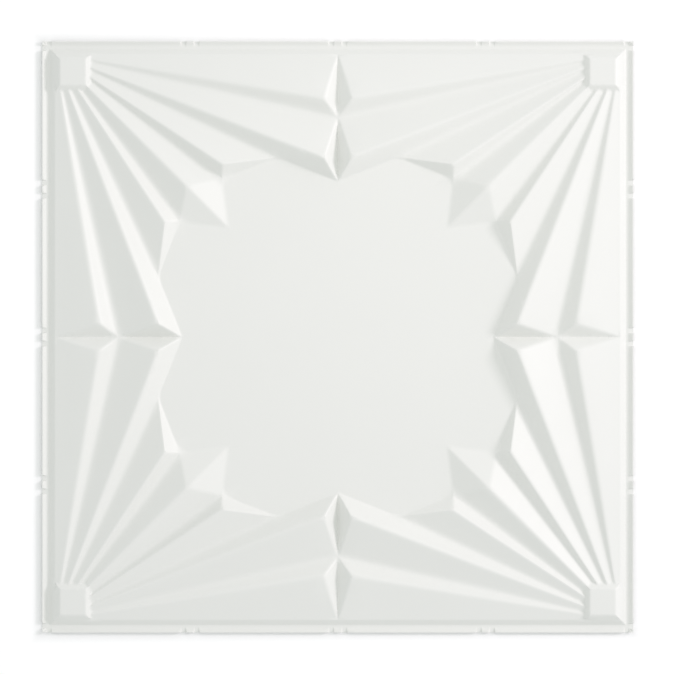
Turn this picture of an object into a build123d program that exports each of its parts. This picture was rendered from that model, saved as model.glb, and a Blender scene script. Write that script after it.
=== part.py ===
# PVC drop ceiling tile, vacuum formed from one thin sheet.
# It lies flat and face up, centred on the origin, with the back of its edge groove on Z = 0.
# From the trimmed edge inwards: a flat rim, a hollow cove, a narrow groove, a sloping wall and
# then the raised field. Seven pleats fan out of each corner of the field, and every pleat is a
# pyramid whose foot lies on the field. Depths are measured from the nearer side of the field.

import math
import os

from build123d import *

# Sheet
tile_side = 603.25
sheet_gauge = 0.8
mould_depth = 12.0

# Edge section
rim_land = 1.0
cove_width = 5.5
groove_land = 1.2
wall_run = 5.0
lip_rise = 3.0
field_rise = 4.0

# Notches across the lip, in pairs; the pair at a corner has one on each side of it
notch_floor_width = 4.9
notch_side_run = 0.9
notch_floor_rise = 0.15
notch_pitch = 13.4
notch_spaces = 4

# Ridges of the pleats. Rises and tip depths are to the line where two faces would cross.
ridge_radius = 5.0

# Pleats that end on the middle line of a side
tip_gap = 13.7
side_pleat_width = 65.0
side_pleat_tip_depth = 46.5
side_pleat_rise = 13.0
second_pleat_width = 65.0
second_pleat_tip_depth = 107.0
second_pleat_rise = 18.0

# Short pleat, measured along the side from the corner of the field
shoulder_along = 227.0
shoulder_set_in = 3.6
short_pleat_along = 171.0
short_pleat_tip_depth = 113.3
short_pleat_foot_depth = 127.2
short_pleat_rise = 13.5

# Pleat on the diagonal
diagonal_tip = 135.2
diagonal_foot = 177.2
diagonal_rise = 16.5

# Block that closes each corner
block_side = 27.0
block_rise = 6.0
block_set_in = 5.4
block_inner_run = 6.0

# Levels of the face, and the plan of the field
groove_level = sheet_gauge
rim_level = groove_level + lip_rise
field_level = groove_level + field_rise
half_tile = tile_side / 2
half_field = half_tile - rim_land - cove_width - groove_land - wall_run


def face_point(along, depth, rise=0.0):
    """A point of the face, from the corner of the field at +X +Y."""
    return (half_field - along, half_field - depth, field_level + rise)


# Feet and tips of the pleats on one side of the diagonal
corner = face_point(0, 0)
middle_outer = face_point(half_field, 0)
middle_first = face_point(half_field, side_pleat_width)
second_foot_depth = side_pleat_width + second_pleat_width
middle_second = face_point(half_field, second_foot_depth)
shoulder_depth = shoulder_along * second_foot_depth / half_field + shoulder_set_in
shoulder = face_point(shoulder_along, shoulder_depth)
short_foot = face_point(short_pleat_along, short_pleat_foot_depth)
short_foot_mirrored = face_point(short_pleat_foot_depth, short_pleat_along)
diagonal_end = face_point(diagonal_foot, diagonal_foot)

side_tip = face_point(half_field - tip_gap, side_pleat_tip_depth, side_pleat_rise)
second_tip = face_point(half_field - tip_gap, second_pleat_tip_depth, second_pleat_rise)
short_tip = face_point(short_pleat_along, short_pleat_tip_depth, short_pleat_rise)
diagonal_peak = face_point(diagonal_tip, diagonal_tip, diagonal_rise)


def rounded_pleat(tip, *feet):
    """A pyramid from the corner over its feet to the tip, with the ridge from the corner rounded."""
    ridge = Plane(origin=tip, z_dir=Vector(tip) - Vector(corner))
    first = ridge.to_local_coords(Vector(feet[0]))
    last = ridge.to_local_coords(Vector(feet[-1]))
    first = Vector(first.X, first.Y).normalized()
    last = Vector(last.X, last.Y).normalized()
    inward = (first + last).normalized()
    half_angle = math.radians(first.get_angle(last) / 2)
    tangent_run = ridge_radius / math.tan(half_angle)
    arc_depth = ridge_radius / math.sin(half_angle) - ridge_radius
    with BuildPart(mode=Mode.PRIVATE) as pleat:
        ConvexPolyhedron([corner, *feet, tip])
        with BuildSketch(ridge):
            with BuildLine():
                ThreePointArc(first * tangent_run, inward * arc_depth, last * tangent_run)
                Line(last * tangent_run, inward * -ridge_radius)
                Line(inward * -ridge_radius, first * tangent_run)
            make_face()
        extrude(amount=tile_side, both=True, mode=Mode.SUBTRACT)
    return pleat.part


# Fan of seven pleats in one corner
side_pleat = rounded_pleat(side_tip, middle_outer, middle_first)
second_pleat = rounded_pleat(second_tip, middle_first, middle_second, shoulder)
short_pleat = rounded_pleat(short_tip, shoulder, short_foot)
diagonal_pleat = rounded_pleat(diagonal_peak, short_foot, diagonal_end, short_foot_mirrored)
with BuildPart() as corner_fan:
    add(side_pleat)
    add(second_pleat)
    add(short_pleat)
    mirror(about=Plane(origin=(0, 0, 0), z_dir=(1, -1, 0)))
    add(diagonal_pleat)

# Flat-topped block over the point where the pleats meet. Its outer walls rise from the groove.
block_far = block_set_in + block_side
block_foot = block_far + block_inner_run * (1 + field_rise / block_rise)
block_corners = []
for low, high, rise in ((-wall_run, block_foot, -field_rise), (block_set_in, block_far, block_rise)):
    block_corners += [
        face_point(low, low, rise),
        face_point(high, low, rise),
        face_point(high, high, rise),
        face_point(low, high, rise),
    ]
with BuildPart() as corner_block:
    ConvexPolyhedron(block_corners)

# One side's lip, a length of rim and cove with notches across it
cove_foot = half_tile - rim_land - cove_width
with BuildPart() as edge_lip:
    with BuildSketch(Plane.XZ) as lip_section:
        with BuildLine():
            cove = TangentArc(
                (cove_foot, groove_level), (half_tile - rim_land, rim_level), tangent=(1, 0)
            )
            Line(cove @ 1, (half_tile, rim_level))
            Line((half_tile, rim_level), (half_tile, 0))
            Line((half_tile, 0), (cove_foot, 0))
            Line((cove_foot, 0), cove @ 0)
        make_face()
    extrude(amount=half_tile, both=True)
    notch_floor = groove_level + notch_floor_rise
    notch_half = notch_floor_width / 2
    notch_outline = [
        (-notch_half, notch_floor),
        (notch_half, notch_floor),
        (notch_half + notch_side_run, rim_level),
        (notch_half + notch_side_run, rim_level + lip_rise),
        (-notch_half - notch_side_run, rim_level + lip_rise),
        (-notch_half - notch_side_run, rim_level),
    ]
    with BuildSketch(Plane.YZ.offset(half_tile)) as notch_section:
        with GridLocations(tile_side / notch_spaces, 0, notch_spaces + 1, 1):
            with GridLocations(notch_pitch, 0, 2, 1):
                Polygon(*notch_outline, align=None)
    extrude(amount=-(rim_land + cove_width), mode=Mode.SUBTRACT)

# Face of the mould: blank, raised field, lips, fans and blocks
field_side = 2 * half_field
groove_side = field_side + 2 * wall_run
with BuildPart() as mould:
    with BuildSketch(Plane.XY.offset(-mould_depth)):
        Rectangle(tile_side, tile_side)
    extrude(amount=mould_depth + groove_level)
    with BuildSketch(Plane.XY.offset(groove_level)):
        Rectangle(groove_side, groove_side)
    with BuildSketch(Plane.XY.offset(field_level)):
        Rectangle(field_side, field_side)
    loft(ruled=True)
    with PolarLocations(0, 4):
        add(edge_lip.part)
        add(corner_fan.part)
        add(corner_block.part)

# The sheet follows the mould at one gauge, measured upright, so it thins on steep walls
with BuildPart() as ceiling_tile:
    add(mould.part)
    with Locations((0, 0, -sheet_gauge)):
        add(mould.part, mode=Mode.SUBTRACT)

ceiling_tile.part.label = "ceiling_tile"
os.makedirs("parts", exist_ok=True)
export_step(ceiling_tile.part, "parts/ceiling_tile.step")
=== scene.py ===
"""Pleated PVC ceiling tile, face up on a white floor.

The tile is one vacuum-formed sheet. A plan mesh of one eighth of it is laid out in Python, with
rows of points beside every crease. Geometry Nodes lift that plan by a height rule, repeat it
round the tile and give it the sheet's gauge.
"""

import math

import bmesh
import bpy
from bpy.props import FloatProperty, FloatVectorProperty, IntProperty, PointerProperty
from bpy.types import Operator, Panel, PropertyGroup
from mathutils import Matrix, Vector
from mathutils.geometry import delaunay_2d_cdt


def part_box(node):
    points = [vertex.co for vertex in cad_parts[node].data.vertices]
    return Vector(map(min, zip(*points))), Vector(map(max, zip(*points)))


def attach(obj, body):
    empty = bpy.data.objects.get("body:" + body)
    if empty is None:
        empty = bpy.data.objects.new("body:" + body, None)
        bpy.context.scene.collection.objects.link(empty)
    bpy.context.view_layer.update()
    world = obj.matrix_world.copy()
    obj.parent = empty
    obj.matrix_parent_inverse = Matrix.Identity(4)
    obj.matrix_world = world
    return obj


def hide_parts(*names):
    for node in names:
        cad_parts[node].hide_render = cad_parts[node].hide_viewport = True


bl_info = {
    "name": "Pleated PVC Ceiling Tile",
    "version": (1, 0, 0),
    "blender": (4, 5, 0),
    "location": "View3D > Sidebar > Ceiling Tile",
    "description": "A vacuum-formed PVC ceiling tile that lies face up, with floor, lamps and camera",
    "category": "Object",
}

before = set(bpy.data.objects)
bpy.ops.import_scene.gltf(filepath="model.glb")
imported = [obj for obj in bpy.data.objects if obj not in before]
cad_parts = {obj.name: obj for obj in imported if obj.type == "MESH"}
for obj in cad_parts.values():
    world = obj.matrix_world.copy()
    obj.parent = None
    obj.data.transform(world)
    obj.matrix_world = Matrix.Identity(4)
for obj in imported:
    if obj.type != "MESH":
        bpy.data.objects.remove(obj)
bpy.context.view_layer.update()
tile_low, tile_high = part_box("ceiling_tile")


# Properties


def length(name, description, default):
    """A size of the tile or the stage in metres."""
    return FloatProperty(
        name=name, description=description, default=default, min=0.0, precision=5, unit="LENGTH"
    )


def light_colour(name, description, default):
    """A colour of light, which may pass 1."""
    return FloatVectorProperty(
        name=name, description=description, default=default, size=3, min=0.0, subtype="COLOR"
    )


class TileEdgeSizes(PropertyGroup):
    tile_side: length("Tile side", "Trimmed side of the square tile", tile_high.x - tile_low.x)
    gauge: length("Gauge", "Thickness of the sheet, measured upright", 0.0008)
    rim_width: length("Rim width", "Flat rim along the trimmed edge", 0.001)
    cove_width: length("Cove width", "Hollow slope from the rim to the groove", 0.0055)
    groove_width: length("Groove width", "Flat land at the bottom of the groove", 0.0012)
    wall_width: length("Wall width", "Slope from the groove up to the field", 0.005)
    lip_rise: length("Lip rise", "Height of the rim over the groove", 0.003)
    field_rise: length("Field rise", "Height of the field over the groove", 0.004)
    notch_width: length("Notch width", "Flat floor of one notch across the lip", 0.0049)
    notch_side: length("Notch side", "Width of a notch's sloping side in plan", 0.0009)
    notch_floor: length("Notch floor", "Height of a notch's floor over the groove", 0.00015)
    notch_pitch: length("Notch pitch", "Distance between the two notches of a pair", 0.0134)
    notch_spaces: IntProperty(
        name="Notch spaces", description="Spaces between pairs of notches along one side", default=4,
        min=1, max=9,
    )
    edge_rounding: length("Edge rounding", "Softness of the creases along the edge", 0.0006)


class TileReliefSizes(PropertyGroup):
    tip_gap: length("Tip gap", "From a pleat's tip to the middle line of the side", 0.0137)
    side_width: length("Side pleat width", "Width of the pleat along the side, at the middle line", 0.065)
    side_tip_depth: length("Side tip depth", "Depth of the side pleat's tip", 0.0465)
    side_rise: length("Side pleat rise", "Height of the side pleat's tip", 0.013)
    second_width: length("Second pleat width", "Width of the second pleat, at the middle line", 0.065)
    second_tip_depth: length("Second tip depth", "Depth of the second pleat's tip", 0.107)
    second_rise: length("Second pleat rise", "Height of the second pleat's tip", 0.018)
    shoulder_along: length("Shoulder", "Foot between the second and short pleats, along the side", 0.227)
    shoulder_set_in: length("Shoulder set-in", "That foot's distance inside the straight line", 0.0036)
    short_along: length("Short pleat length", "Tip of the short pleat, along the side", 0.171)
    short_tip_depth: length("Short tip depth", "Depth of the short pleat's tip", 0.1133)
    short_foot_depth: length("Short foot depth", "Depth of the short pleat's inner foot", 0.1272)
    short_rise: length("Short pleat rise", "Height of the short pleat's tip", 0.0135)
    diagonal_tip: length("Diagonal tip", "Tip of the diagonal pleat, along and deep", 0.1352)
    diagonal_foot: length("Diagonal foot", "Foot of the diagonal pleat, along and deep", 0.1772)
    diagonal_rise: length("Diagonal pleat rise", "Height of the diagonal pleat's tip", 0.0165)
    block_side: length("Block side", "Flat top of the corner block", 0.027)
    block_rise: length("Block rise", "Height of the corner block over the field", 0.006)
    block_set_in: length("Block set-in", "From the field's edge to the flat top of the block", 0.0054)
    block_inner_width: length("Block inner wall", "Width of the block's inner walls in plan", 0.006)
    ridge_rounding: length("Ridge rounding", "Softness of the ridges", 0.0055)
    valley_rounding: length("Valley rounding", "Softness of the valleys between pleats", 0.009)
    diagonal_valley_rounding: length(
        "Diagonal valley rounding", "Softness of the valleys beside the diagonal pleat", 0.014
    )
    full_rounding: length("Full rounding", "Distance from the corner at which the roundings are full", 0.15)
    end_rounding: length(
        "End rounding", "Softness round the end faces of the short and diagonal pleats", 0.0012
    )
    middle_end_rounding: length(
        "Middle end rounding", "Softness round the end faces of the pleats that end on the middle line", 0.004
    )
    middle_rounding: length("Middle rounding", "Softness of the valley along the middle line", 0.0035)
    tip_fade: length("Tip fade", "Depth at which the middle line has its full softness", 0.03)
    tip_softness: FloatProperty(
        name="Tip softness", description="Share of that softness left at the field's edge", default=0.12,
        min=0.0, max=1.0, subtype="FACTOR",
    )
    foot_rounding: length("Foot rounding", "Softness where pleats meet the flat field", 0.0014)


class TileFinish(PropertyGroup):
    colour: FloatVectorProperty(
        name="Sheet colour", description="Colour of the PVC", subtype="COLOR", size=3, min=0.0, max=1.0,
        default=(0.832, 0.840, 0.812),
    )
    roughness: FloatProperty(
        name="Roughness", description="Roughness of the calendered face", default=0.46, min=0.0, max=1.0,
        subtype="FACTOR",
    )


class StageSettings(PropertyGroup):
    ambient: FloatProperty(
        name="Ambient level", description="Strength of the even light from all round", default=0.779, min=0.0
    )
    ambient_colour: light_colour("Ambient colour", "Colour of the even light", (0.977, 1.0, 0.994))
    overhead_share: FloatProperty(
        name="Overhead share", description="Light of the overhead lamp on the flat field, where 1 is white",
        default=0.089, min=0.0,
    )
    overhead_place: FloatVectorProperty(
        name="Overhead place", description="Place of the overhead lamp", subtype="TRANSLATION", size=3,
        default=(0.06, 0.18, 0.42),
    )
    overhead_size: length("Overhead size", "Side of the square overhead lamp", 0.5)
    overhead_colour: light_colour("Overhead colour", "Colour of the overhead lamp", (1.06, 1.0, 0.95))
    lamp_turn: FloatProperty(
        name="Lamp turn", description="Direction of the side lamp, from the right towards the top",
        default=math.radians(17.0), subtype="ANGLE",
    )
    lamp_height: FloatProperty(
        name="Lamp height", description="Angle of the side lamp above the floor",
        default=math.radians(29.5), subtype="ANGLE",
    )
    lamp_distance: length("Lamp distance", "Distance of the side lamp from the tile's centre", 3.1)
    lamp_size: length("Lamp size", "Side of the square side lamp", 0.65)
    lamp_share: FloatProperty(
        name="Lamp share", description="Light of the side lamp on the flat field, where 1 is white",
        default=0.158, min=0.0,
    )
    lamp_colour: light_colour("Lamp colour", "Colour of the side lamp", (1.045, 0.955, 1.017))
    lens: FloatProperty(name="Lens", description="Focal length of the camera in mm", default=250.0, min=1.0)
    frame_width: length("Frame width", "Width of the picture at the rim's level", 0.6887)
    aim: FloatVectorProperty(
        name="Aim", description="Place of the tile that is under the camera", size=2, precision=5,
        unit="LENGTH", default=(-0.00026, -0.00051),
    )


SETTINGS = {
    "tile_edge": TileEdgeSizes,
    "tile_relief": TileReliefSizes,
    "tile_finish": TileFinish,
    "tile_stage": StageSettings,
}


# Sizes shared by the plan and the height rule


def half_field_of(edge):
    """Half the side of the raised field."""
    return edge.tile_side / 2 - edge.rim_width - edge.cove_width - edge.groove_width - edge.wall_width


def pleat_points(edge, relief):
    """Feet and tips of the pleats beside one side, as (along, depth, rise) from the field's corner."""
    half = half_field_of(edge)
    second_foot = relief.side_width + relief.second_width
    shoulder_depth = relief.shoulder_along * second_foot / half + relief.shoulder_set_in
    return {
        "Corner": Vector((0, 0, 0)),
        "Middle outer": Vector((half, 0, 0)),
        "Middle first": Vector((half, relief.side_width, 0)),
        "Middle second": Vector((half, second_foot, 0)),
        "Shoulder": Vector((relief.shoulder_along, shoulder_depth, 0)),
        "Short foot": Vector((relief.short_along, relief.short_foot_depth, 0)),
        "Short foot mirrored": Vector((relief.short_foot_depth, relief.short_along, 0)),
        "Diagonal foot": Vector((relief.diagonal_foot, relief.diagonal_foot, 0)),
        "Side tip": Vector((half - relief.tip_gap, relief.side_tip_depth, relief.side_rise)),
        "Second tip": Vector((half - relief.tip_gap, relief.second_tip_depth, relief.second_rise)),
        "Short tip": Vector((relief.short_along, relief.short_tip_depth, relief.short_rise)),
        "Diagonal tip": Vector((relief.diagonal_tip, relief.diagonal_tip, relief.diagonal_rise)),
    }


# Each pleat is a pyramid: its feet in order round the foot line, then its tip
PLEATS = {
    "Side": (("Corner", "Middle outer", "Middle first"), "Side tip"),
    "Second": (("Corner", "Middle first", "Middle second", "Shoulder"), "Second tip"),
    "Short": (("Corner", "Shoulder", "Short foot"), "Short tip"),
    "Diagonal": (("Corner", "Short foot", "Diagonal foot", "Short foot mirrored"), "Diagonal tip"),
}
TIPS = tuple(tip for feet, tip in PLEATS.values())
PLEAT_PLACES = tuple(dict.fromkeys(name for feet, tip in PLEATS.values() for name in (*feet, tip)))


# Plan mesh of one eighth of the tile. Steps and gaps are in metres.

LOOKUP_CELL = 0.001
SAME_POINT = 1e-5
ROUND_OFF = 1e-7

# Rows by depth, beside the creases that run along the edge
CREASE_ROW = 0.0005
RIM_ROWS = (-0.0002, 0.0001)
COVE_FOOT_ROW = 0.0006
COVE_STEP = 0.0009
WALL_FOOT_ROWS = (-0.0005, 0.0, 0.0005, 0.0011, 0.0025)
FIELD_EDGE_ROWS = (-0.0011, -0.0005, 0.0, 0.0005, 0.0012, 0.0022)
ROW_END_GAP = 0.0004

# Columns along the side, closer beside the creases of the notches
FIELD_COLUMN_STEP = 0.0095
EDGE_COLUMN_STEP = 0.0011
NOTCH_FOOT_COLUMNS = (-0.0002, 0.0001, 0.0004)
NOTCH_TOP_COLUMNS = (-0.0002, 0.0001)
COLUMN_GAP = 0.0003

# Stations along the creases of the fan, closer together towards its corner
RAY_STEP_SHARE = 0.05
RAY_STEP_RANGE = (0.0014, 0.0095)
RAY_REACH = 0.35
RAY_END_GAP = 0.002
END_LINE_STEP = 0.004
MIDDLE_LINE_STEP = 0.0095
DIAGONAL_STEP = 0.006
LINE_GAP = 0.0004

# Rows of points on both sides of those creases
RIDGE_ROWS = (0.0008, 0.0018, 0.0030, 0.0045)
VALLEY_ROWS = (0.0010, 0.0024, 0.0042, 0.0065)
END_ROWS = (0.0007, 0.0015, 0.0026)
BESIDE_GAP = 0.0007
EDGE_MARGIN = 0.003

# Even points round the corner block and on the flats
BLOCK_MARGIN = 0.004
BLOCK_STEP = 0.0013
BLOCK_GAP = 0.0009
FLAT_STEP = 0.014
FLAT_GAP = 0.008

# Feet whose line from the corner is no crease here, or is the field's edge
FEET_WITHOUT_CREASE = ("Short foot mirrored", "Diagonal foot", "Middle outer", "Middle second")

# Chains of creases and foot lines that don't start in the corner
END_CHAINS = (
    ("Middle outer", "Side tip", "Middle first", "Second tip", "Middle second", "Shoulder"),
    ("Second tip", "Shoulder", "Short tip", "Short foot"),
    ("Shoulder", "Short foot", "Diagonal tip"),
    ("Short foot", "Diagonal foot"),
    ("Diagonal tip", "Diagonal foot"),
    ("Middle outer", "Middle first", "Middle second"),
)


class Plan:
    """Points and crease lines of one eighth of the tile, seen from above, kept a set distance apart."""

    def __init__(self, half_tile):
        self.half_tile = half_tile
        self.points = []
        self.lines = []
        self.cells = {}

    def cell(self, point):
        return math.floor(point.x / LOOKUP_CELL), math.floor(point.y / LOOKUP_CELL)

    def nearest(self, point, reach):
        """Index of the nearest point within reach, or None."""
        column, row = self.cell(point)
        span = math.ceil(reach / LOOKUP_CELL)
        best, best_distance = None, reach
        for i in range(column - span, column + span + 1):
            for j in range(row - span, row + span + 1):
                for index in self.cells.get((i, j), ()):
                    distance = (self.points[index] - point).length
                    if distance < best_distance:
                        best, best_distance = index, distance
        return best

    def add(self, x, y, gap):
        """Adds a point inside the eighth unless another lies within the gap. Returns its index."""
        if x < -ROUND_OFF or y - x < -ROUND_OFF or y > self.half_tile + ROUND_OFF:
            return None
        point = Vector((max(x, 0.0), min(y, self.half_tile)))
        found = self.nearest(point, gap)
        if found is not None:
            return found
        self.points.append(point)
        self.cells.setdefault(self.cell(point), []).append(len(self.points) - 1)
        return len(self.points) - 1

    def line(self, places, gap=SAME_POINT):
        """Adds points in order and ties each to the next."""
        before = None
        for x, y in places:
            index = self.add(x, y, gap)
            if index is None:
                before = None
                continue
            if before is not None and index != before:
                self.lines.append((before, index))
            before = index


def spread(start, end, step):
    """Values from start to end, evenly spaced by about step."""
    count = max(1, round(abs(end - start) / step))
    return [start + (end - start) * i / count for i in range(count + 1)]


def ray_stations(first, last):
    """Distances from the field's corner, closer together towards it."""
    least, most = RAY_STEP_RANGE
    places, at = [], first
    while at < last:
        places.append(at)
        at += min(most, max(least, at * RAY_STEP_SHARE))
    return places


def edge_rows(edge):
    """Depths of the rows from the trimmed edge to the field, and the depth of the groove's outer side."""
    wall_foot = -edge.wall_width
    groove_end = wall_foot - edge.groove_width
    rim_start = groove_end - edge.cove_width
    edge_end = rim_start - edge.rim_width
    rows = [edge_end, edge_end + CREASE_ROW]
    rows += [rim_start + step for step in RIM_ROWS]
    rows += spread(rim_start + CREASE_ROW, groove_end + COVE_FOOT_ROW, COVE_STEP)
    rows += [groove_end, (groove_end + wall_foot) / 2]
    rows += [wall_foot + step for step in WALL_FOOT_ROWS]
    rows += FIELD_EDGE_ROWS
    return rows, groove_end


def side_columns(edge):
    """Plain columns along the side, and the columns that also follow the notches."""
    half_tile, half = edge.tile_side / 2, half_field_of(edge)
    floor_half = edge.notch_width / 2
    steps = [*NOTCH_FOOT_COLUMNS, *(edge.notch_side + step for step in NOTCH_TOP_COLUMNS)]
    shares = [0.0, floor_half * 0.5] + [floor_half + step for step in steps]
    at_notches = set()
    for k in range(edge.notch_spaces + 1):
        station = (k - edge.notch_spaces / 2) * edge.tile_side / edge.notch_spaces
        for centre in (station - edge.notch_pitch / 2, station + edge.notch_pitch / 2):
            if 0 < centre < half_tile:
                at_notches |= {centre + way * share for share in shares for way in (-1, 1)}
    plain = spread(0.0, half, FIELD_COLUMN_STEP) + spread(half, half_tile, EDGE_COLUMN_STEP)[1:]
    beside = {x for x in plain if all(abs(x - other) > COLUMN_GAP for other in at_notches)}
    return plain, sorted(at_notches | beside)


def crease_runs(edge, relief, ray_start):
    """Creases of the fan: first and last point, stations along it and distances of the rows beside it."""
    half = half_field_of(edge)
    places = {
        name: Vector((half - place.x, half - place.y)) for name, place in pleat_points(edge, relief).items()
    }
    corner = places["Corner"]
    stations = ray_stations(ray_start, RAY_REACH)
    runs = []
    for name in PLEAT_PLACES[1:]:
        if name in FEET_WITHOUT_CREASE:
            continue
        reach = (places[name] - corner).length
        along = [t for t in stations if t < reach - RAY_END_GAP] + [reach]
        runs.append((corner, places[name], along, RIDGE_ROWS if name in TIPS else VALLEY_ROWS))
    for chain in END_CHAINS:
        for start, end in zip(chain, chain[1:]):
            reach = (places[end] - places[start]).length
            runs.append((places[start], places[end], spread(0.0, reach, END_LINE_STEP), END_ROWS))
    return runs


def lay_out_plan(edge, relief):
    """The plan mesh of one eighth: the right half of the side at +Y, down to the diagonal."""
    half_tile = edge.tile_side / 2
    half = half_field_of(edge)
    last_row = half - FIELD_EDGE_ROWS[-1]
    block_foot = relief.block_set_in + relief.block_side + relief.block_inner_width
    block_zone = block_foot + BLOCK_MARGIN
    plan = Plan(half_tile)

    # Rows along the side, each out to the diagonal
    rows, groove_end = edge_rows(edge)
    plain, with_notches = side_columns(edge)
    for depth in rows:
        y = half - depth
        used = with_notches if depth <= groove_end else plain
        stations = sorted({x for x in used if x < y - ROW_END_GAP} | {y})
        plan.line([(x, y) for x in stations])

    # Creases of the fan outside the block, then the middle line and the diagonal
    clear_of_block = half - block_zone + BLOCK_MARGIN
    runs = crease_runs(edge, relief, block_zone - BLOCK_MARGIN)
    for first, last, along, offsets in runs:
        way = (last - first).normalized()
        spots = [first + way * t for t in along]
        plan.line([tuple(spot) for spot in spots if min(spot) < clear_of_block])
    plan.line([(0.0, y) for y in spread(0.0, last_row, MIDDLE_LINE_STEP)], LINE_GAP)
    plan.line([(a, a) for a in spread(0.0, half - relief.diagonal_foot, DIAGONAL_STEP)], LINE_GAP)

    # Rows of points on both sides of the creases, the nearest row of every crease first
    for rank in range(len(RIDGE_ROWS)):
        for first, last, along, offsets in runs:
            if rank >= len(offsets):
                continue
            way = (last - first).normalized()
            across = Vector((-way.y, way.x))
            for t in along:
                for side in (-1, 1):
                    spot = first + way * t + across * side * offsets[rank]
                    if spot.y < half - EDGE_MARGIN:
                        plan.add(spot.x, spot.y, BESIDE_GAP)

    # Fine even points round the corner block, where pleats and walls meet
    steps = spread(half - block_zone, last_row, BLOCK_STEP)
    for y in steps:
        for x in steps:
            plan.add(x, y, BLOCK_GAP)

    # Sparse points on the flats
    steps = spread(0.0, half, FLAT_STEP)
    for x in steps:
        for y in steps:
            plan.add(x, y, FLAT_GAP)

    # Outline of the eighth, then triangles between all the lines
    outline = [plan.add(x, y, SAME_POINT) for x, y in ((0, 0), (half_tile, half_tile), (0, half_tile))]
    edges = plan.lines + list(zip(outline, outline[1:] + outline[:1]))
    found = delaunay_2d_cdt(plan.points, edges, [], 0, ROUND_OFF)
    return found[0], found[2]


# Node helpers


def new_group(name, kind, inputs, outputs):
    """A node group with named sockets. Returns it, the values it is given and the sockets it fills."""
    group = bpy.data.node_groups.new(name, kind)
    for label, socket_type in inputs:
        group.interface.new_socket(label, in_out="INPUT", socket_type=socket_type)
    for label, socket_type in outputs:
        group.interface.new_socket(label, in_out="OUTPUT", socket_type=socket_type)
    return group, group.nodes.new("NodeGroupInput").outputs, group.nodes.new("NodeGroupOutput").inputs


def feed(group, socket, value):
    """Links a socket, or sets its value."""
    if isinstance(value, bpy.types.NodeSocket):
        group.links.new(value, socket)
    else:
        socket.default_value = value


def call_group(group, tree, values):
    """Places a geometry node group in another and feeds its sockets by name."""
    node = group.nodes.new("GeometryNodeGroup")
    node.node_tree = tree
    for label, value in values.items():
        feed(group, node.inputs[label], value)
    return node


def math_node(group, operation, *values):
    """Output of a Math node with these inputs."""
    node = group.nodes.new("ShaderNodeMath")
    node.operation = operation
    for socket, value in zip(node.inputs, values):
        feed(group, socket, value)
    return node.outputs[0]


def vector_node(group, operation, *values):
    """Vector output of a Vector Math node with these inputs."""
    node = group.nodes.new("ShaderNodeVectorMath")
    node.operation = operation
    for socket, value in zip(node.inputs, values):
        feed(group, socket, value)
    return node.outputs[0]


def part_of(group, vector, axis):
    """X, Y or Z of a vector."""
    node = group.nodes.new("ShaderNodeSeparateXYZ")
    feed(group, node.inputs[0], vector)
    return node.outputs[axis]


def within(group, value, low, high):
    """A value kept between two others."""
    return math_node(group, "MAXIMUM", math_node(group, "MINIMUM", value, high), low)


def softest(group, operation, values, rounding):
    """Smooth minimum or maximum of several heights."""
    result = values[0]
    for value in values[1:]:
        result = math_node(group, operation, result, value, rounding)
    return result


# Height rule of the face


def facet_height_group():
    """Height of the plane through two feet at field level and a raised tip, at one place."""
    inputs = [(name, "NodeSocketVector") for name in ("Place", "First foot", "Second foot", "Tip")]
    outputs = [("Height", "NodeSocketFloat")]
    group, given, made = new_group("Facet height", "GeometryNodeTree", inputs, outputs)
    foot = given["First foot"]
    foot_line = vector_node(group, "SUBTRACT", given["Second foot"], foot)
    to_place = vector_node(group, "SUBTRACT", given["Place"], foot)
    to_tip = vector_node(group, "SUBTRACT", given["Tip"], foot)
    place_area = part_of(group, vector_node(group, "CROSS_PRODUCT", foot_line, to_place), "Z")
    tip_area = part_of(group, vector_node(group, "CROSS_PRODUCT", foot_line, to_tip), "Z")
    share = math_node(group, "DIVIDE", place_area, tip_area)
    rise = part_of(group, given["Tip"], "Z")
    feed(group, made["Height"], math_node(group, "MULTIPLY", share, rise))
    return group


FAN_ROUNDINGS = (
    "Ridge rounding", "Valley rounding", "Diagonal valley rounding", "Full rounding", "End rounding",
    "Middle end rounding",
)
END_ROUNDINGS = {
    "Side": "Side end rounding",
    "Second": "Middle end rounding",
    "Short": "End rounding",
    "Diagonal": "End rounding",
}


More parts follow.
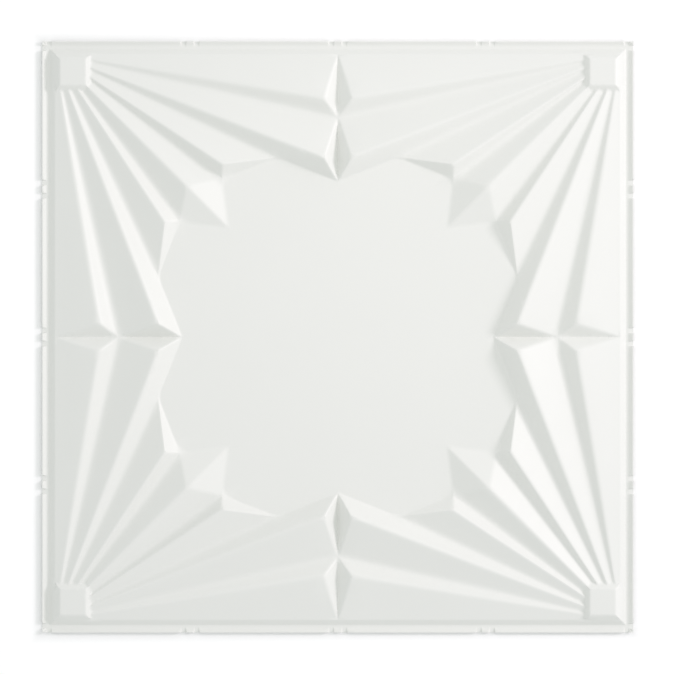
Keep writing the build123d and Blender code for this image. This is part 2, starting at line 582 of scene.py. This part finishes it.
def fan_height_group(facet):
    """Height of the pleats on one side of a corner's diagonal, and of the diagonal pleat itself."""
    inputs = [(name, "NodeSocketVector") for name in ("Place", *PLEAT_PLACES)]
    inputs += [(name, "NodeSocketFloat") for name in (*FAN_ROUNDINGS, "Side end rounding")]
    outputs = [("Height", "NodeSocketFloat")]
    group, given, made = new_group("Fan height", "GeometryNodeTree", inputs, outputs)

    # Creases are tighter where the pleats are small, towards the corner
    away = group.nodes.new("ShaderNodeVectorMath")
    away.operation = "LENGTH"
    feed(group, away.inputs[0], given["Place"])
    share = math_node(group, "DIVIDE", away.outputs["Value"], given["Full rounding"])
    share = math_node(group, "MINIMUM", share, 1.0)
    ridge_rounding = math_node(group, "MULTIPLY", given["Ridge rounding"], share)
    valley_rounding = math_node(group, "MULTIPLY", given["Valley rounding"], share)
    diagonal_rounding = math_node(group, "MULTIPLY", given["Diagonal valley rounding"], share)

    # Each pleat is the lowest of its facets, and the fan the highest of its pleats
    pleats = []
    for label, (feet, tip) in PLEATS.items():
        flanks, end_faces = [], []
        for start, end in zip(feet, feet[1:] + feet[:1]):
            node = call_group(group, facet, {
                "Place": given["Place"],
                "First foot": given[start],
                "Second foot": given[end],
                "Tip": given[tip],
            })
            node.label = label
            (flanks if "Corner" in (start, end) else end_faces).append(node.outputs["Height"])
        flank = softest(group, "SMOOTH_MIN", flanks, ridge_rounding)
        end_rounding = given[END_ROUNDINGS[label]]
        pleats.append(softest(group, "SMOOTH_MIN", [flank, *end_faces], end_rounding))
    height = softest(group, "SMOOTH_MAX", pleats[:-1], valley_rounding)
    height = math_node(group, "SMOOTH_MAX", height, pleats[-1], diagonal_rounding)
    feed(group, made["Height"], height)
    return group


BLOCK_INPUTS = (
    "Block side", "Block rise", "Block set-in", "Block inner wall", "Wall width", "Field rise",
    "Edge rounding",
)
LIP_INPUTS = (
    "Cove width", "Lip rise", "Notch width", "Notch side", "Notch floor", "Notch pitch", "Edge rounding",
)


def block_height_group():
    """Height of the flat-topped block in the corner; its outer walls rise from the groove."""
    number = "NodeSocketFloat"
    inputs = [("Place", "NodeSocketVector"), *((name, number) for name in BLOCK_INPUTS)]
    group, given, made = new_group("Block height", "GeometryNodeTree", inputs, [("Height", number)])
    rise, set_in = given["Block rise"], given["Block set-in"]
    whole_rise = math_node(group, "ADD", rise, given["Field rise"])
    whole_run = math_node(group, "ADD", set_in, given["Wall width"])
    outer_slope = math_node(group, "DIVIDE", whole_rise, whole_run)
    inner_slope = math_node(group, "DIVIDE", rise, given["Block inner wall"])
    far = math_node(group, "ADD", set_in, given["Block side"])
    walls = [rise]
    for axis in ("X", "Y"):
        distance = part_of(group, given["Place"], axis)
        from_near = math_node(group, "SUBTRACT", distance, set_in)
        from_far = math_node(group, "SUBTRACT", far, distance)
        walls.append(math_node(group, "MULTIPLY_ADD", from_near, outer_slope, rise))
        walls.append(math_node(group, "MULTIPLY_ADD", from_far, inner_slope, rise))
    height = softest(group, "SMOOTH_MIN", walls, given["Edge rounding"])
    feed(group, made["Height"], height)
    return group


def lip_height_group():
    """Height of the lip over the groove, with its notches, by distance out and along."""
    number = "NodeSocketFloat"
    inputs = [(name, number) for name in ("Out", "Along", "Pair spacing", *LIP_INPUTS)]
    group, given, made = new_group("Lip height", "GeometryNodeTree", inputs, [("Height", number)])
    width, rise = given["Cove width"], given["Lip rise"]
    half_round = math_node(group, "MULTIPLY", given["Edge rounding"], 0.5)

    # The cove is an arc, level where it leaves the groove
    square = math_node(group, "MULTIPLY", width, width)
    square = math_node(group, "MULTIPLY_ADD", rise, rise, square)
    radius = math_node(group, "DIVIDE", square, math_node(group, "MULTIPLY", rise, 2.0))
    out = math_node(group, "MINIMUM", math_node(group, "MAXIMUM", given["Out"], 0.0), width)
    radius_square = math_node(group, "MULTIPLY", radius, radius)
    under = math_node(group, "SUBTRACT", radius_square, math_node(group, "MULTIPLY", out, out))
    lip = math_node(group, "SUBTRACT", radius, math_node(group, "SQRT", under))

    # Two notches beside the nearest station
    along, spacing = given["Along"], given["Pair spacing"]
    count = math_node(group, "ROUND", math_node(group, "DIVIDE", along, spacing))
    station = math_node(group, "MULTIPLY", count, spacing)
    from_station = math_node(group, "ABSOLUTE", math_node(group, "SUBTRACT", along, station))
    half_pitch = math_node(group, "MULTIPLY", given["Notch pitch"], 0.5)
    half_width = math_node(group, "MULTIPLY", given["Notch width"], 0.5)
    from_centre = math_node(group, "ABSOLUTE", math_node(group, "SUBTRACT", from_station, half_pitch))
    from_floor = math_node(group, "SUBTRACT", from_centre, half_width)
    depth = math_node(group, "SUBTRACT", rise, given["Notch floor"])
    slope = math_node(group, "DIVIDE", depth, given["Notch side"])
    side = math_node(group, "MULTIPLY", math_node(group, "MAXIMUM", from_floor, 0.0), slope)
    notch = math_node(group, "ADD", side, given["Notch floor"])
    height = math_node(group, "SMOOTH_MIN", lip, notch, half_round)
    feed(group, made["Height"], math_node(group, "MAXIMUM", height, 0.0))
    return group


def face_height(tree, value):
    """Height of the sheet's face over the floor, at each point of the plan."""

    def passed_on(names):
        return {name: value[name] for name in names}

    def times(*parts):
        result = parts[0]
        for part in parts[1:]:
            result = math_node(tree, "MULTIPLY", result, part)
        return result

    # Place from the field's corner: along the side, and depth from it
    half_tile = times(value["Tile side"], 0.5)
    border = math_node(tree, "ADD", value["Rim width"], value["Cove width"])
    border = math_node(tree, "ADD", border, value["Groove width"])
    border = math_node(tree, "ADD", border, value["Wall width"])
    half_field = math_node(tree, "SUBTRACT", half_tile, border)
    position = tree.nodes.new("GeometryNodeInputPosition").outputs[0]
    corner = tree.nodes.new("ShaderNodeCombineXYZ")
    feed(tree, corner.inputs["X"], half_field)
    feed(tree, corner.inputs["Y"], half_field)
    place = vector_node(tree, "SUBTRACT", corner.outputs[0], position)
    along, depth = part_of(tree, place, "X"), part_of(tree, place, "Y")
    beyond = tree.nodes.new("ShaderNodeCombineXYZ")
    feed(tree, beyond.inputs["X"], math_node(tree, "SUBTRACT", times(half_field, 2.0), along))
    feed(tree, beyond.inputs["Y"], depth)

    # Creases on the middle line are tighter towards the field's edge, where the pleats end in a point
    softness = math_node(tree, "DIVIDE", depth, value["Tip fade"])
    softness = within(tree, softness, value["Tip softness"], 1.0)

    # The fan of this corner and the one beyond the middle line, over the flat field
    fan = fan_height_group(facet_height_group())
    shared = passed_on((*PLEAT_PLACES, *FAN_ROUNDINGS))
    shared["Side end rounding"] = times(value["Middle end rounding"], softness)
    heights = [
        call_group(tree, fan, {"Place": spot, **shared}).outputs["Height"]
        for spot in (place, beyond.outputs[0])
    ]
    relief = math_node(tree, "SMOOTH_MAX", *heights, times(value["Middle rounding"], softness))
    relief = math_node(tree, "SMOOTH_MAX", relief, 0.0, value["Foot rounding"])

    # Edge wall and corner block
    wall_slope = math_node(tree, "DIVIDE", value["Field rise"], value["Wall width"])
    relief = math_node(tree, "SMOOTH_MIN", relief, times(depth, wall_slope), value["Edge rounding"])
    block = call_group(tree, block_height_group(), {"Place": place, **passed_on(BLOCK_INPUTS)})
    relief = math_node(tree, "SMOOTH_MAX", relief, block.outputs["Height"], value["Edge rounding"])

    # Groove and lip
    groove_far = math_node(tree, "ADD", value["Wall width"], value["Groove width"])
    lip = call_group(tree, lip_height_group(), {
        "Out": math_node(tree, "SUBTRACT", times(depth, -1.0), groove_far),
        "Along": part_of(tree, position, "X"),
        "Pair spacing": math_node(tree, "DIVIDE", value["Tile side"], value["Notch spaces"]),
        **passed_on(LIP_INPUTS),
    })
    outside = math_node(tree, "SUBTRACT", lip.outputs["Height"], value["Field rise"])
    relief = math_node(tree, "SMOOTH_MAX", relief, outside, value["Edge rounding"])
    level = math_node(tree, "ADD", value["Gauge"], value["Field rise"])
    return math_node(tree, "ADD", relief, level)


# The sheet's tree


def repeat_round(tree, eighth):
    """Mirrors one eighth over the diagonal, then repeats the quarter four times round the centre."""
    mirrored = tree.nodes.new("GeometryNodeTransform")
    feed(tree, mirrored.inputs["Geometry"], eighth)
    mirrored.inputs["Scale"].default_value = (1.0, -1.0, 1.0)
    mirrored.inputs["Rotation"].default_value = (0.0, 0.0, math.pi / 2)
    turned_over = tree.nodes.new("GeometryNodeFlipFaces")
    feed(tree, turned_over.inputs["Mesh"], mirrored.outputs["Geometry"])
    quarter = tree.nodes.new("GeometryNodeJoinGeometry")
    tree.links.new(eighth, quarter.inputs["Geometry"])
    tree.links.new(turned_over.outputs["Mesh"], quarter.inputs["Geometry"])
    turns = tree.nodes.new("GeometryNodeMeshLine")
    turns.inputs["Count"].default_value = 4
    turns.inputs["Offset"].default_value = (0.0, 0.0, 0.0)
    index = tree.nodes.new("GeometryNodeInputIndex")
    turn = tree.nodes.new("ShaderNodeCombineXYZ")
    feed(tree, turn.inputs["Z"], math_node(tree, "MULTIPLY", index.outputs[0], math.pi / 2))
    around = tree.nodes.new("GeometryNodeInstanceOnPoints")
    feed(tree, around.inputs["Points"], turns.outputs["Mesh"])
    feed(tree, around.inputs["Instance"], quarter.outputs["Geometry"])
    feed(tree, around.inputs["Rotation"], turn.outputs[0])
    real = tree.nodes.new("GeometryNodeRealizeInstances")
    feed(tree, real.inputs["Geometry"], around.outputs["Instances"])
    return merged(tree, real.outputs["Geometry"])


def merged(tree, geometry):
    """Geometry with its doubled points merged."""
    node = tree.nodes.new("GeometryNodeMergeByDistance")
    feed(tree, node.inputs["Geometry"], geometry)
    node.inputs["Distance"].default_value = SAME_POINT
    return node.outputs["Geometry"]


def give_gauge(tree, face, gauge):
    """Pushes the face down by the gauge for the back and the trimmed edge, and closes the sheet."""
    down = tree.nodes.new("ShaderNodeCombineXYZ")
    down.inputs["Z"].default_value = -1.0
    pushed = tree.nodes.new("GeometryNodeExtrudeMesh")
    pushed.mode = "FACES"
    feed(tree, pushed.inputs["Mesh"], face)
    feed(tree, pushed.inputs["Offset"], down.outputs[0])
    feed(tree, pushed.inputs["Offset Scale"], gauge)
    pushed.inputs["Individual"].default_value = False
    back = tree.nodes.new("GeometryNodeFlipFaces")
    feed(tree, back.inputs["Mesh"], pushed.outputs["Mesh"])
    whole = tree.nodes.new("GeometryNodeJoinGeometry")
    tree.links.new(face, whole.inputs["Geometry"])
    tree.links.new(back.outputs["Mesh"], whole.inputs["Geometry"])
    return merged(tree, whole.outputs["Geometry"])


# Sizes that the sheet's tree takes, by the names of their properties
SIZE_INPUTS = tuple(dict.fromkeys((
    "Tile side", "Gauge", "Rim width", "Groove width", *BLOCK_INPUTS, *LIP_INPUTS, *FAN_ROUNDINGS,
    "Middle rounding", "Tip fade", "Tip softness", "Foot rounding",
)))


def formed_sheet_tree():
    """Lifts the plan of one eighth by the height rule, repeats it eight times and gives it its gauge."""
    geometry = "NodeSocketGeometry"
    inputs = [("Plan", geometry), ("Sheet", "NodeSocketMaterial"), ("Notch spaces", "NodeSocketInt")]
    inputs += [(name, "NodeSocketFloat") for name in SIZE_INPUTS]
    inputs += [(name, "NodeSocketVector") for name in PLEAT_PLACES]
    tree, value, made = new_group("Formed sheet", "GeometryNodeTree", inputs, [("Sheet", geometry)])
    tree.is_modifier = True

    lift = tree.nodes.new("ShaderNodeCombineXYZ")
    feed(tree, lift.inputs["Z"], face_height(tree, value))
    shaped = tree.nodes.new("GeometryNodeSetPosition")
    feed(tree, shaped.inputs["Geometry"], value["Plan"])
    feed(tree, shaped.inputs["Offset"], lift.outputs[0])
    face = repeat_round(tree, shaped.outputs["Geometry"])
    smooth = tree.nodes.new("GeometryNodeSetShadeSmooth")
    feed(tree, smooth.inputs["Geometry"], give_gauge(tree, face, value["Gauge"]))
    painted = tree.nodes.new("GeometryNodeSetMaterial")
    feed(tree, painted.inputs["Geometry"], smooth.outputs["Geometry"])
    feed(tree, painted.inputs["Material"], value["Sheet"])
    feed(tree, made["Sheet"], painted.outputs["Geometry"])
    return tree


# Materials

# Gloss of rigid PVC
PVC_IOR = 1.53
PVC_SPECULAR = 0.4

# Noise scales are for each metre, and depths are shares of the bump distance
MOTTLE_SCALE = 14.0
MOTTLE_SPAN = 0.016
MOTTLE_LOW = 0.992
SATIN_SCALE = 38.0
SATIN_SPAN = 0.10
SKIN_SCALE = 900.0
SKIN_DEPTH = 0.06
SLACK_SCALE = 22.0
SLACK_DEPTH = 0.6
BUMP_STRENGTH = 0.5
BUMP_DISTANCE = 0.0002

FLOOR_WHITE = 0.97
FLOOR_ROUGHNESS = 0.9
# Glow that lifts the floor to full white for the camera, and the width of the painted shade band next to the
# tile over which that glow grows from none
FLOOR_LIFT = 0.14
PAINTED_SHADE_WIDTH = 0.012


def skin_group():
    """Calendered PVC: faint mottle, uneven satin and a fine skin on a slack sheet."""
    inputs = [("Place", "NodeSocketVector"), ("Colour", "NodeSocketColor"), ("Roughness", "NodeSocketFloat")]
    outputs = [("Colour", "NodeSocketColor"), ("Roughness", "NodeSocketFloat"), ("Height", "NodeSocketFloat")]
    group, given, made = new_group("Calendered skin", "ShaderNodeTree", inputs, outputs)

    def noise(scale, detail, rough=0.5):
        node = group.nodes.new("ShaderNodeTexNoise")
        feed(group, node.inputs["Vector"], given["Place"])
        node.inputs["Scale"].default_value = scale
        node.inputs["Detail"].default_value = detail
        node.inputs["Roughness"].default_value = rough
        return node.outputs[0]

    mottle = math_node(group, "MULTIPLY_ADD", noise(MOTTLE_SCALE, 3.0), MOTTLE_SPAN, MOTTLE_LOW)
    tone = group.nodes.new("ShaderNodeCombineXYZ")
    for axis in ("X", "Y", "Z"):
        feed(group, tone.inputs[axis], mottle)
    tinted = group.nodes.new("ShaderNodeMix")
    tinted.data_type = "RGBA"
    tinted.blend_type = "MULTIPLY"
    tinted.inputs["Factor"].default_value = 1.0
    first, second = [socket for socket in tinted.inputs if socket.type == "RGBA"]
    feed(group, first, given["Colour"])
    feed(group, second, tone.outputs[0])
    tinted_colour = [socket for socket in tinted.outputs if socket.type == "RGBA"][0]
    feed(group, made["Colour"], tinted_colour)
    uneven = math_node(group, "MULTIPLY_ADD", noise(SATIN_SCALE, 4.0), SATIN_SPAN, -SATIN_SPAN / 2)
    feed(group, made["Roughness"], math_node(group, "ADD", given["Roughness"], uneven))
    skin = math_node(group, "MULTIPLY", noise(SKIN_SCALE, 3.0, 0.6), SKIN_DEPTH)
    slack = math_node(group, "MULTIPLY", noise(SLACK_SCALE, 1.0), SLACK_DEPTH)
    feed(group, made["Height"], math_node(group, "ADD", skin, slack))
    return group


def sheet_material(finish):
    """White satin PVC."""
    material = bpy.data.materials.new("White PVC sheet")
    material.use_nodes = True
    tree = material.node_tree
    shader = tree.nodes["Principled BSDF"]
    shader.inputs["IOR"].default_value = PVC_IOR
    shader.inputs["Specular IOR Level"].default_value = PVC_SPECULAR
    skin = tree.nodes.new("ShaderNodeGroup")
    skin.node_tree = skin_group()
    feed(tree, skin.inputs["Place"], tree.nodes.new("ShaderNodeTexCoord").outputs["Object"])
    skin.inputs["Colour"].default_value = (*finish.colour, 1.0)
    skin.inputs["Roughness"].default_value = finish.roughness
    feed(tree, shader.inputs["Base Color"], skin.outputs["Colour"])
    feed(tree, shader.inputs["Roughness"], skin.outputs["Roughness"])
    bump = tree.nodes.new("ShaderNodeBump")
    bump.inputs["Strength"].default_value = BUMP_STRENGTH
    bump.inputs["Distance"].default_value = BUMP_DISTANCE
    feed(tree, bump.inputs["Height"], skin.outputs["Height"])
    feed(tree, shader.inputs["Normal"], bump.outputs["Normal"])
    return material


def background_rays(tree):
    """1 for rays that should see the white background."""
    path = tree.nodes.new("ShaderNodeLightPath")
    seen = math_node(tree, "MAXIMUM", path.outputs["Is Camera Ray"], path.outputs["Is Glossy Ray"])
    return math_node(tree, "MAXIMUM", seen, path.outputs["Is Transmission Ray"])


def floor_material(half_tile):
    """White paper that keeps the lamps' shadow round the tile and reads as white to the camera; next to the
    tile its glow is held back, which paints shade in a band round the tile's edge.
    """
    material = bpy.data.materials.new("White floor")
    material.use_nodes = True
    tree = material.node_tree
    shader = tree.nodes["Principled BSDF"]
    shader.inputs["Base Color"].default_value = (FLOOR_WHITE, FLOOR_WHITE, FLOOR_WHITE, 1.0)
    shader.inputs["Roughness"].default_value = FLOOR_ROUGHNESS
    shader.inputs["Specular IOR Level"].default_value = 0.0
    shader.inputs["Emission Color"].default_value = (1.0, 1.0, 1.0, 1.0)

    # Painted shade round the tile: the glow that lifts the floor to full white is held back at the tile's
    # edge and grows from there outwards, so the floor next to the tile reads darker and the lamps' shadow
    # there is deepened
    place = tree.nodes.new("ShaderNodeTexCoord").outputs["Object"]
    reach = [math_node(tree, "ABSOLUTE", part_of(tree, place, axis)) for axis in ("X", "Y")]
    beyond = math_node(tree, "SUBTRACT", math_node(tree, "MAXIMUM", *reach), half_tile)
    clear = within(tree, math_node(tree, "DIVIDE", beyond, PAINTED_SHADE_WIDTH), 0.0, 1.0)
    lift = math_node(tree, "MULTIPLY", clear, FLOOR_LIFT)
    feed(tree, shader.inputs["Emission Strength"], math_node(tree, "MULTIPLY", background_rays(tree), lift))
    return material


# Operators

SLIVER_AREA = 1e-11
SHARP_ANGLE = math.radians(50.0)
FLOOR_REACH = 6.0
SENSOR_WIDTH = 36.0
VIEW_REACH = 50.0


class CEILINGTILE_OT_form_sheet(Operator):
    """Form the pleated sheet in place of the CAD node"""

    bl_idname = "ceilingtile.form_sheet"
    bl_label = "Form Sheet"

    def execute(self, context):
        scene = context.scene
        plan = self.lay_plan(scene)
        tree = formed_sheet_tree()
        sheet = sheet_material(scene.tile_finish)
        modifier = plan.modifiers.new("Formed sheet", "NODES")
        modifier.node_group = tree
        self.fill_inputs(modifier, scene, sheet)
        context.view_layer.update()
        graph = context.evaluated_depsgraph_get()
        formed = bpy.data.meshes.new_from_object(plan.evaluated_get(graph))
        if not formed.polygons:
            raise RuntimeError("the sheet came out empty")
        bpy.data.objects.remove(plan)

        # One material on the whole sheet, and sharp creases only where faces meet steeply
        formed.name = "pvc_sheet"
        formed.materials.clear()
        formed.materials.append(sheet)
        formed.polygons.foreach_set("material_index", [0] * len(formed.polygons))
        formed.set_sharp_from_angle(angle=SHARP_ANGLE)
        tile = bpy.data.objects.new("pvc_sheet", formed)
        scene.collection.objects.link(tile)
        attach(tile, "root")
        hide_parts("ceiling_tile")
        cad_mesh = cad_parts["ceiling_tile"].data
        cad_mesh.materials.clear()
        cad_mesh.materials.append(sheet)
        return {"FINISHED"}

    def lay_plan(self, scene):
        """The plan mesh as an object, with its faces up and without slivers."""
        places, faces = lay_out_plan(scene.tile_edge, scene.tile_relief)
        mesh = bpy.data.meshes.new("tile_plan")
        mesh.from_pydata([(p.x, p.y, 0.0) for p in places], [], faces)
        shell = bmesh.new()
        shell.from_mesh(mesh)
        bmesh.ops.recalc_face_normals(shell, faces=shell.faces)
        if sum(f.normal.z for f in shell.faces) < 0:
            bmesh.ops.reverse_faces(shell, faces=shell.faces)
        slivers = [f for f in shell.faces if f.calc_area() < SLIVER_AREA]
        bmesh.ops.delete(shell, geom=slivers, context="FACES_ONLY")
        shell.to_mesh(mesh)
        shell.free()
        plan = bpy.data.objects.new("tile_plan", mesh)
        scene.collection.objects.link(plan)
        return plan

    def fill_inputs(self, modifier, scene, sheet):
        """Sets the tree's inputs from the scene's properties."""
        edge, relief = scene.tile_edge, scene.tile_relief
        sockets = {
            item.name: item.identifier
            for item in modifier.node_group.interface.items_tree
            if item.item_type == "SOCKET" and item.in_out == "INPUT"
        }
        modifier[sockets["Sheet"]] = sheet
        modifier[sockets["Notch spaces"]] = edge.notch_spaces
        for group in (edge, relief):
            for item in group.bl_rna.properties:
                if item.name in SIZE_INPUTS:
                    modifier[sockets[item.name]] = getattr(group, item.identifier)
        for name, point in pleat_points(edge, relief).items():
            modifier[sockets[name]] = point


class CEILINGTILE_OT_set_stage(Operator):
    """Lay the floor, set the even light, hang the lamps and place the camera over the tile"""

    bl_idname = "ceilingtile.set_stage"
    bl_label = "Set Stage"

    def execute(self, context):
        scene, stage = context.scene, context.scene.tile_stage
        self.lay_floor(scene)
        self.light_evenly(scene, stage)

        # A near lamp over the tile, and a far one low on the right
        self.hang_lamp(
            scene, "overhead_softbox", Vector(stage.overhead_place), stage.overhead_size,
            stage.overhead_share, stage.overhead_colour,
        )
        low = Vector((
            math.cos(stage.lamp_height) * math.cos(stage.lamp_turn),
            math.cos(stage.lamp_height) * math.sin(stage.lamp_turn),
            math.sin(stage.lamp_height),
        ))
        self.hang_lamp(
            scene, "side_softbox", low * stage.lamp_distance, stage.lamp_size,
            stage.lamp_share, stage.lamp_colour,
        )
        self.place_camera(scene, stage)
        scene.view_settings.view_transform = "Standard"
        return {"FINISHED"}

    def lay_floor(self, scene):
        """A wide white floor under the tile."""
        mesh = bpy.data.meshes.new("floor")
        corners = [(x * FLOOR_REACH, y * FLOOR_REACH, 0) for x, y in ((-1, -1), (1, -1), (1, 1), (-1, 1))]
        mesh.from_pydata(corners, [], [(0, 1, 2, 3)])
        mesh.materials.append(floor_material(scene.tile_edge.tile_side / 2))
        floor = bpy.data.objects.new("floor", mesh)
        scene.collection.objects.link(floor)

    def light_evenly(self, scene, stage):
        """Even light from all round, behind a white background."""
        world = bpy.data.worlds.new("Even light")
        world.use_nodes = True
        scene.world = world
        tree = world.node_tree
        tree.nodes.clear()
        output = tree.nodes.new("ShaderNodeOutputWorld")
        even = tree.nodes.new("ShaderNodeBackground")
        even.inputs["Color"].default_value = (*stage.ambient_colour, 1.0)
        even.inputs["Strength"].default_value = stage.ambient
        white = tree.nodes.new("ShaderNodeBackground")
        white.inputs["Color"].default_value = (1.0, 1.0, 1.0, 1.0)
        mix = tree.nodes.new("ShaderNodeMixShader")
        feed(tree, mix.inputs[0], background_rays(tree))
        tree.links.new(even.outputs[0], mix.inputs[1])
        tree.links.new(white.outputs[0], mix.inputs[2])
        tree.links.new(mix.outputs[0], output.inputs["Surface"])

    def hang_lamp(self, scene, name, place, size, share, colour):
        """A square lamp that faces the tile's centre and gives a flat face there that share of white."""
        lamp = bpy.data.lights.new(name, "AREA")
        lamp.size = size
        lamp.color = colour
        lamp.energy = share * math.pi**2 * place.length_squared / (place.z / place.length)
        softbox = bpy.data.objects.new(name, lamp)
        softbox.location = place
        softbox.rotation_euler = place.to_track_quat("Z", "Y").to_euler()
        scene.collection.objects.link(softbox)

    def place_camera(self, scene, stage):
        """A camera straight above, at the height that gives the picture its width."""
        eye = bpy.data.cameras.new("overhead")
        eye.lens = stage.lens
        eye.sensor_width = SENSOR_WIDTH
        eye.clip_end = VIEW_REACH
        overhead = bpy.data.objects.new("overhead", eye)
        rim_level = scene.tile_edge.gauge + scene.tile_edge.lip_rise
        overhead.location = (*stage.aim, rim_level + stage.frame_width * stage.lens / SENSOR_WIDTH)
        scene.collection.objects.link(overhead)
        scene.camera = overhead


class CEILINGTILE_PT_tools(Panel):
    bl_idname = "CEILINGTILE_PT_tools"
    bl_label = "Ceiling Tile"
    bl_space_type = "VIEW_3D"
    bl_region_type = "UI"
    bl_category = "Ceiling Tile"

    def draw(self, context):
        layout = self.layout
        layout.operator(CEILINGTILE_OT_form_sheet.bl_idname)
        layout.operator(CEILINGTILE_OT_set_stage.bl_idname)
        for settings in SETTINGS:
            group = getattr(context.scene, settings)
            box = layout.box()
            for name in group.__annotations__:
                box.prop(group, name)


CLASSES = (
    *SETTINGS.values(),
    CEILINGTILE_OT_form_sheet,
    CEILINGTILE_OT_set_stage,
    CEILINGTILE_PT_tools,
)


def register():
    for cls in CLASSES:
        bpy.utils.register_class(cls)
    for name, settings in SETTINGS.items():
        setattr(bpy.types.Scene, name, PointerProperty(type=settings))


def unregister():
    for name in SETTINGS:
        delattr(bpy.types.Scene, name)
    for cls in reversed(CLASSES):
        bpy.utils.unregister_class(cls)


def main():
    register()
    bpy.ops.ceilingtile.set_stage()
    bpy.ops.ceilingtile.form_sheet()


if __name__ == "__main__":
    main()
